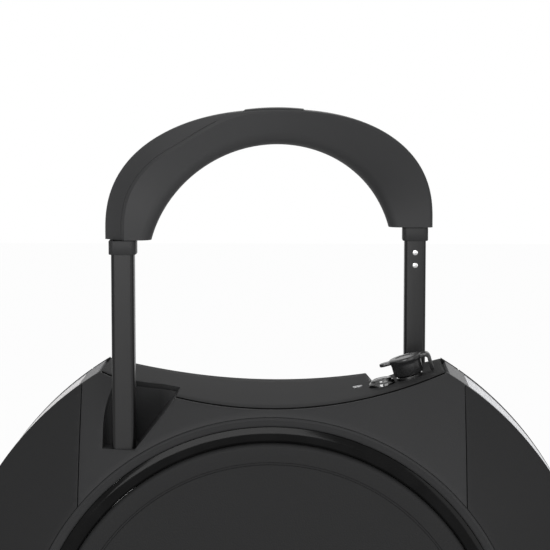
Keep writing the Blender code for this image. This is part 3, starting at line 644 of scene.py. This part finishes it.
def saddle_panel():
    across = 8
    end = SADDLE_END - 0.0008
    rings = []
    for i in range(PANEL_STEPS + 1):
        x = end - 2 * end * i / PANEL_STEPS
        z, half = saddle(x), panel_half(x)
        top = [(x, -half + 2 * half * k / across, z) for k in range(across + 1)]
        rings.append(top + [(x, half, z - PANEL_THICK), (x, -half, z - PANEL_THICK)])
    panel = loft("saddle_panel", rings)
    for way in SIDES.values():
        combine(panel, moved(pocket_tool("pocket"), way))
    for spot, radius in ((PORT_SPOT, PORT_HOLE), (BUTTON_SPOT, BUTTON_HOLE)):
        hole = turn("hole", [(0, -0.02), (radius, -0.02), (radius, 0.02), (0, 0.02)], Vector(), 64, "Z")
        combine(panel, moved(hole, on_saddle(spot)))
    slot = prism("hole", rounded(0.0074, 0.0042, 0.0020), "Z", -0.01, 0.01)
    combine(panel, moved(slot, on_saddle(LAMP_SPOT)))
    bevel(panel, 0.0004, 2, 50)
    soften(panel, 30)
    done(panel, TOP, "shell", "top_panel")


def charge_port():
    """The threaded socket and the rubber cap over it, with its tab and strap."""
    port = on_saddle(PORT_SPOT)
    thread = [(0.0082 + (0.0004 if k % 2 else -0.0002), 0.0026 + 0.00045 * k) for k in range(8)]
    socket = [(0.009, -0.008), (0.009, 0.0018), (0.0086, 0.0024)] + thread
    socket += [(0.0076, 0.0066), (0.0062, 0.0066), (0.0062, -0.005), (0, -0.005), (0, -0.008)]
    socket = soften(moved(turn("threaded_socket", socket, Vector(), 96, "Z"), port), 30)
    done(socket, CHROME, "shell", "charge_socket")

    cap = [(0, 0.0146), (0.0060, 0.0146), (0.0064, 0.0150), (0.0090, 0.0150), (0.0104, 0.0148)]
    cap += [(0.0112, 0.0142), (0.0114, 0.0133), (0.0112, 0.0124), (0.0106, 0.0116), (0.0103, 0.0100)]
    cap += [(0.0102, 0.0036), (0.0100, 0.0030), (0.0088, 0.0030), (0.0086, 0.0075), (0, 0.0075)]
    cap = turn("rubber_cap", cap, Vector(), 96, "Z")
    tab = arc((-0.0145, 0), 0.0035, 0, 2 * math.pi, 33)[:-1] + [(-0.006, -0.0035), (-0.006, 0.0035)]
    combine(cap, bevel(prism("tab", hull(tab), "Z", 0.0118, 0.0140), 0.0005), "UNION")
    bend = [(0.008, 0.0116)] + arc((0.0132, 0.0101), 0.0015, math.pi / 2, 0, 6)
    bend += [(0.0147, 0.0016), (0.0172, 0.0016)]
    bend += arc((0.0134, 0.0106), 0.0038, 0, math.pi / 2, 8) + [(0.008, 0.0144)]
    combine(cap, bevel(prism("strap", bend, "Y", -0.0048, 0.0048), 0.0005), "UNION")
    soften(moved(cap, port), 35)
    done(cap, MOULDED, "socket_cap", "charge_cap")


def power_knob():
    """The power button in its chrome bezel."""
    knob = on_saddle(BUTTON_SPOT)
    bezel = [(0.0088, -0.006), (0.0088, 0.0010), (0.0086, 0.0019), (0.0081, 0.0026)]
    bezel += [(0.0076, 0.0029), (0.0072, 0.0027), (0.0072, -0.006)]
    bezel = soften(moved(turn("knob_bezel", bezel, Vector(), 96, "Z"), knob), 40)
    done(bezel, DARK_CHROME, "shell", "button_bezel")
    top = [(0, -0.004), (0.007, -0.004), (0.007, 0.0034), (0.0067, 0.0040), (0.0060, 0.0044)]
    top += [(0.0052, 0.0045), (0.0048, 0.0042), (0.0040, 0.0042), (0.0036, 0.0045), (0, 0.0046)]
    top = soften(moved(turn("knob_face", top, Vector(), 96, "Z"), knob), 40)
    done(top, DARK_CHROME, "power_key", "power_button")


def state_lamp():
    lamp = prism("lamp", rounded(0.0068, 0.0036, 0.0017), "Z", -0.0035, 0.0006)
    lamp = soften(bevel(moved(lamp, on_saddle(LAMP_SPOT)), 0.0003), 40)
    done(lamp, LAMP, "shell", "state_indicator")


def rim_bar(name, inner, outer, start, end, half, steps=80, crown=0.0):
    """A curved bar on the rim between two angles from the vertical, its outer face slightly crowned."""
    rings = []
    for i in range(steps + 1):
        a = start + (end - start) * i / steps
        way = Vector((math.sin(a), 0, math.cos(a)))
        across = [(outer + crown * (1 - (k / 4) ** 2), half * k / 4) for k in range(-4, 5)]
        rings.append([way * r + Vector((0, y, 0)) for r, y in [(inner, -half)] + across + [(inner, half)]])
    return loft(name, rings)


def rims():
    for name, turned, lens, look in (
        ("front_rim", Matrix.Identity(4), "headlight_lens", PALE),
        ("rear_rim", HALF_TURN, "tail_light_lens", TAIL),
    ):
        there = Matrix.Translation(DISC) @ turned
        outer = RIM_RADIUS - GAP
        floor = outer - LENS_DEPTH
        band = rim_bar(name + "_band", RIM_RADIUS - RIM_DEPTH, outer, BAND_START, BAND_END, BAND_HALF)
        slot = rim_bar("slot", floor, outer + 0.01, LENS_START, LENS_END, LENS_HALF + GAP)
        combine(band, slot)
        soften(bevel(moved(band, there), 0.0004), 30)
        done(band, RIM_GRAY, "shell", name)
        inset = GAP / RIM_RADIUS
        bar = rim_bar(
            name + "_lens", floor + 0.0006, outer, LENS_START + inset, LENS_END - inset, LENS_HALF, 80, 0.0002
        )
        soften(bevel(moved(bar, there), 0.0004, 2, 60), 40)
        done(bar, look, "shell", lens)


# ---------------------------------------------------------------- handle

def crown_reach(angle):
    """How far the arch's outer outline lies from its centre in one direction."""
    low, high = 0.05, 0.2
    for _ in range(40):
        reach = (low + high) / 2
        x = abs(reach * math.cos(angle)) / CROWN_WIDTH
        z = max(0.0, ARCH_CENTRE + reach * math.sin(angle) - CROWN_CENTRE) / CROWN_RISE
        low, high = (reach, high) if x ** CROWN_POWER + z ** CROWN_POWER < 1 else (low, reach)
    return (low + high) / 2


def near_face(x):
    """Where the arch's near face stands: it runs from one post across to the other."""
    share = x / 0.098
    return -0.017 + 0.053 * share + 0.009 * share * share


def chamfer_rows(width, chamfer):
    """Points (reach, depth) down the cover's chamfer, with a seam where it is wide."""
    if chamfer <= 0.006:
        return [(width - chamfer * s, CHAMFER_DROP * chamfer * (1 - s)) for s in (0.8, 0.6, 0.4)]
    seam = width - (chamfer - 0.0022)
    return [
        (seam - 0.0004, CHAMFER_DROP * 0.0018),
        (seam, CHAMFER_DROP * 0.0022 + 0.0005),
        (seam + 0.0004, CHAMFER_DROP * 0.0026),
    ]


def arch_section(inner, outer):
    """The outline round the arch: a long round inner edge, a crease, and a bevelled cover outside it."""
    near, far = near_face(outer[0] * FACE_SHARE), -near_face(-outer[0] * FACE_SHARE)
    width = math.dist(inner, outer)
    near_bevel, far_bevel = (
        0.002 + 0.0115 * smooth_step((way * outer[0] - 0.012) / 0.066) for way in (-1, 1)
    )
    soft = min(0.0085, (far - near) * 0.46, width * 0.42)
    edge = 0.0006
    rows = [(soft, near), ((soft + width - near_bevel) / 2, near), (width - near_bevel, near)]
    rows += [(s, near + depth) for s, depth in chamfer_rows(width, near_bevel)]
    rows += [(width - edge, near + CHAMFER_DROP * (near_bevel - edge))]
    rows += [(width, near + CHAMFER_DROP * near_bevel + edge)]
    rows += [(width, far - CHAMFER_DROP * far_bevel - edge)]
    rows += [(width - edge, far - CHAMFER_DROP * (far_bevel - edge))]
    rows += [(s, far - depth) for s, depth in chamfer_rows(width, far_bevel)[::-1]]
    rows += [(width - far_bevel, far), ((soft + width - far_bevel) / 2, far), (soft, far)]
    turns = (0.26, 0.52, 0.79, 1.05, 1.31)
    back = [(soft - soft * math.sin(a), far - soft + soft * math.cos(a)) for a in turns]
    rows += back + [(0, far - soft), (0, near + soft)] + [(s, near + far - y) for s, y in back[::-1]]
    way = ((outer[0] - inner[0]) / width, (outer[1] - inner[1]) / width)
    return [(inner[0] + way[0] * s, y, inner[1] + way[1] * s) for s, y in rows]


def handle():
    first_in = math.asin((LEG_LOW - ARCH_CENTRE) / ARCH_RADIUS)
    first_out = math.atan2(LEG_LOW - ARCH_CENTRE, CROWN_WIDTH)
    rings = []
    for i in range(ARCH_STATIONS + 1):
        share = i / ARCH_STATIONS
        a_in = math.pi - first_in - (math.pi - 2 * first_in) * share
        a_out = math.pi - first_out - (math.pi - 2 * first_out) * share
        reach = crown_reach(a_out)
        inner = (ARCH_RADIUS * math.cos(a_in), ARCH_CENTRE + ARCH_RADIUS * math.sin(a_in))
        outer = (reach * math.cos(a_out), ARCH_CENTRE + reach * math.sin(a_out))
        rings.append(arch_section(inner, outer))
    arch = loft("arch_grip", rings)
    combine(arch, release_block("recess", 0.0004, CROWN_TOP + 0.01, 0.003))
    for sign in (1, -1):
        outline = rounded(0.006, 0.006, 0.0029, (POST[0] * sign, POST[1] * sign), 8)
        combine(arch, prism("screw_hole", outline, "Z", 0.54, 0.5675))
    soften(arch, 28)
    done(arch, GRIP, "handle", "handle_arch")
    key = soften(bevel(release_block("release_plate", 0.0, None, 0.0), 0.0006, 3, 50), 40)
    done(key, GRIP, "release_key", "release_button")
    for side, way in SIDES.items():
        tube(side, way)


def release_block(name, grow, flat_top, drop):
    """A block across the crown that follows the arch's diagonal."""
    half, edge, steps = KEY_HALF + grow, KEY_EDGE - grow, 24
    low = CROWN_TOP - KEY_DEPTH - drop - grow
    rings = []
    for i in range(steps + 1):
        x = half * (2 * i / steps - 1)
        near, far = near_face(x * FACE_SHARE) + edge, -near_face(-x * FACE_SHARE) - edge
        top = flat_top or CROWN_TOP + 0.0013 - 0.0012 * (x / KEY_HALF) ** 2
        rings.append([(x, near, low), (x, near, top), (x, far, top), (x, far, low)])
    return loft(name, rings)


def tube(side, way):
    """The square anodised tube under one leg, its collar, and on the left tube two stop pins."""
    post = prism(
        side + "_post_tube", rounded(TUBE_WIDTH, TUBE_DEPTH, 0.0026, POST, 10), "Z", TUBE_BOTTOM, TUBE_TOP,
    )
    inside = rounded(TUBE_WIDTH - 2 * TUBE_WALL, TUBE_DEPTH - 2 * TUBE_WALL, 0.0018, POST, 6)
    combine(post, prism("bore", inside, "Z", 0.28, 0.57))
    if side == "left":
        for height in STOP_PINS:
            head = [(0, -0.0008), (0.0019, -0.0008), (0.0018, 0.0001), (0.0012, 0.0003), (0, 0.0003)]
            pin = turn("stop_pin", head, Vector(), 24)
            moved(pin, Matrix.Translation((POST[0], POST[1] + TUBE_DEPTH / 2, height)))
            done(soften(moved(pin, way), 50), STEEL, "handle")
    done(soften(moved(post, way), 40), ANODISED, "handle", side + "_inner_tube")
    outside = rounded(TUBE_WIDTH + 2 * COLLAR_WALL, TUBE_DEPTH + 2 * COLLAR_WALL, 0.0035, POST, 10)
    collar = prism(side + "_leg_collar", outside, "Z", COLLAR_BOTTOM, TUBE_TOP)
    opening = rounded(TUBE_WIDTH + 2 * GAP, TUBE_DEPTH + 2 * GAP, 0.0032, POST, 10)
    combine(collar, prism("bore", opening, "Z", 0.53, 0.57))
    soften(bevel(moved(collar, way), 0.0005, 2, 50), 40)
    done(collar, COLLAR, "handle", side + "_collar")


# ---------------------------------------------------------------- wheel, pedals

def tyre():
    """The tyre's carcass with tread blocks cut by two grooves and slanted sipes."""
    bead, tread = BEAD_RADIUS, TREAD_RADIUS
    outline = [(bead, -0.022), (bead + 0.003, -0.0234), (bead + 0.006, -0.0245), (bead + 0.013, -0.0263)]
    outline += [(bead + 0.020, -TYRE_HALF), (bead + 0.026, -0.0269), (bead + 0.032, -0.0262)]
    outline += [(tread - 0.014, -0.0240), (tread - 0.010, -0.0215), (tread - 0.0062, -0.0176)]
    outline += [(tread - 0.003, -0.0130), (tread - 0.0014, -0.0092), (tread - 0.0008, -0.0066)]
    outline += [
        (tread - 0.0030, -0.0062), (tread - 0.0030, -0.0046), (tread - 0.0002, -0.0042), (tread, -0.0015),
    ]
    outline += [(r, -y) for r, y in outline[::-1]]
    rings = []
    for i in range(TYRE_STEPS):
        a = 2 * math.pi * i / TYRE_STEPS
        ring = []
        for r, y in outline:
            sipe = (i + round(abs(y) * 400)) % 8 < 2 and 0.006 < abs(y) < 0.023 and r > tread - 0.012
            reach = r - 0.0016 if sipe else r
            ring.append(AXLE + Vector((math.sin(a) * reach, y, math.cos(a) * reach)))
        rings.append(ring)
    n = len(outline)
    points = [p for ring in rings for p in ring]
    faces = []
    for i in range(TYRE_STEPS):
        here, there = i * n, (i + 1) % TYRE_STEPS * n
        faces += [(here + k, here + (k + 1) % n, there + (k + 1) % n, there + k) for k in range(n)]
    obj = outward(new_piece("tyre_tread", points, faces))
    done(soften(obj, 32), TYRE, "wheel", "tyre")


def studs(middle, height):
    """The low round studs of a grip mat, each as its lower and upper ring."""
    found = []
    for i in range(-8, 9):
        for k in range(-3, 4):
            if abs(i) == 8 and abs(k) == 3:
                continue
            x = i * STUD_PITCH[0] + (STUD_SHIFT if k % 2 else -STUD_SHIFT)
            y = middle[1] + k * STUD_PITCH[1]
            found.append([
                [(px, py, z) for px, py in arc((x, y), r, 0, 2 * math.pi, 13)[:-1]]
                for r, z in ((0.0030, height), (0.0022, height + STUD_HEIGHT))
            ])
    return found


def pedals():
    """The grip mats with their moulded studs."""
    middle = (0, -HINGE_SIDE - PEDAL_NEAR - PEDAL_HALF)
    top = PEDAL_TOP + 0.0004
    for side, way in SIDES.items():
        outline = rounded(MAT_LENGTH, MAT_WIDTH, MAT_CORNER, middle, 8)
        mat = prism(side + "_grip_mat", outline, "Z", PEDAL_TOP - 0.0012, top)
        bm = bmesh.new()
        bm.from_mesh(mat.data)
        for low, high in studs(middle, top):
            a = [bm.verts.new(p) for p in low]
            b = [bm.verts.new(p) for p in high]
            for k in range(len(a)):
                bm.faces.new((a[k - 1], a[k], b[k], b[k - 1]))
            bm.faces.new(b)
            bm.faces.new(a[::-1])
        bm.to_mesh(mat.data)
        bm.free()
        done(soften(moved(mat, way), 40), MAT, side + "_step", side + "_pedal_grip")


def finish_nodes():
    """Materials for the CAD nodes that keep their own shape."""
    paired = {
        "pedal": ANODISED_PLATE, "motor_cover": ANODISED_PLATE, "side_frame": ANODISED_PLATE,
        "outer_sleeve": ALLOY, "pedal_bracket": ALLOY, "pedal_pin": STEEL, "axle_nut": STEEL,
        "wheel_bearing": STEEL, "stator_winding": COPPER, "battery": PACK,
    }
    looks = {side + "_" + name: look for side in SIDES for name, look in paired.items()}
    looks.update({
        "wheel_arch": SHELL, "motor_rim": ANODISED_PLATE, "heat_sink": ALLOY, "magnet_ring": STEEL,
        "stator_core": STEEL, "axle": STEEL, "control_board": BOARD,
    })
    for name, look in looks.items():
        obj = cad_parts[name]
        obj.data.materials.clear()
        obj.data.materials.append(look)


# ---------------------------------------------------------------- studio

SEEN_BY = ("Is Camera Ray", "Is Glossy Ray", "Is Transmission Ray")
FLOOR_GLOW = 0.97
SKY = 0.32
# Name, place, aim, size and power of each area lamp
LAMPS = (
    ("key", (-0.35, -2.3, 0.95), (0, 0, 0.4), 1.1, 34),
    ("fill", (1.3, -1.7, 0.8), (0, 0, 0.35), 1.2, 12),
    ("top", (0.1, 0.2, 2.3), (0, 0, 0.45), 1.2, 10),
)


def pale_floor():
    """A white floor that keeps the object's shadow, and shows white in gloss and glass."""
    bpy.ops.mesh.primitive_plane_add(size=12, location=(0, 0, 0))
    floor = bpy.context.object
    floor.name = "floor"
    look = Look("paper")
    look.set(Base_Color=look.mix(look.noise(2), gray(0.90), gray(0.92)), Roughness=0.85, Metallic=0.0)
    seen, gloss, clear = (look.node("ShaderNodeLightPath", out=ray) for ray in SEEN_BY)
    seen = seen.or_more(gloss).or_more(clear)
    glow = look.node("ShaderNodeEmission", {}, {"Color": (1, 1, 1, 1), "Strength": 1.0})
    paper = Value(look, look.shader.outputs[0])
    both = look.node("ShaderNodeMixShader", {}, {0: seen * FLOOR_GLOW, 1: paper, 2: glow})
    look.tree.links.new(both.socket, look.tree.nodes["Material Output"].inputs["Surface"])
    floor.data.materials.append(look.material)


def white_world():
    """A dim even sky that camera, gloss and glass see as white."""
    world = bpy.data.worlds.new("studio")
    bpy.context.scene.world = world
    world.use_nodes = True
    tree = world.node_tree
    path = tree.nodes.new("ShaderNodeLightPath")
    seen = path.outputs[SEEN_BY[0]]
    for ray in SEEN_BY[1:]:
        either = tree.nodes.new("ShaderNodeMath")
        either.operation = "MAXIMUM"
        tree.links.new(seen, either.inputs[0])
        tree.links.new(path.outputs[ray], either.inputs[1])
        seen = either.outputs[0]
    plain = tree.nodes["Background"]
    plain.inputs["Color"].default_value = (0.9, 0.93, 1.0, 1)
    plain.inputs["Strength"].default_value = SKY
    white = tree.nodes.new("ShaderNodeBackground")
    white.inputs["Color"].default_value = (1, 1, 1, 1)
    white.inputs["Strength"].default_value = 1.0
    mix = tree.nodes.new("ShaderNodeMixShader")
    tree.links.new(seen, mix.inputs[0])
    tree.links.new(plain.outputs[0], mix.inputs[1])
    tree.links.new(white.outputs[0], mix.inputs[2])
    tree.links.new(mix.outputs[0], tree.nodes["World Output"].inputs["Surface"])


def lamps():
    for name, spot, aim, size, power in LAMPS:
        lamp = bpy.data.lights.new(name, "AREA")
        lamp.size = size
        lamp.energy = power
        obj = bpy.data.objects.new(name, lamp)
        bpy.context.scene.collection.objects.link(obj)
        obj.location = spot
        obj.rotation_euler = (Vector(aim) - Vector(spot)).to_track_quat("-Z", "Y").to_euler()


def camera():
    lens = bpy.data.cameras.new("camera")
    lens.lens = 136.3
    lens.sensor_width = 36
    lens.clip_start = 0.05
    obj = bpy.data.objects.new("camera", lens)
    bpy.context.scene.collection.objects.link(obj)
    obj.location = (0.03043, -1.4098, 0.67698)
    obj.rotation_euler = (math.pi / 2 - 0.1062, 0, 0.0212)
    bpy.context.scene.camera = obj
    bpy.context.scene.view_settings.view_transform = "Standard"


pale_floor()
white_world()
lamps()
camera()
side_covers()
side_rings()
saddle_panel()
saddle_gap_shadows()
charge_port()
power_knob()
state_lamp()
rims()
handle()
tyre()
pedals()
finish_nodes()
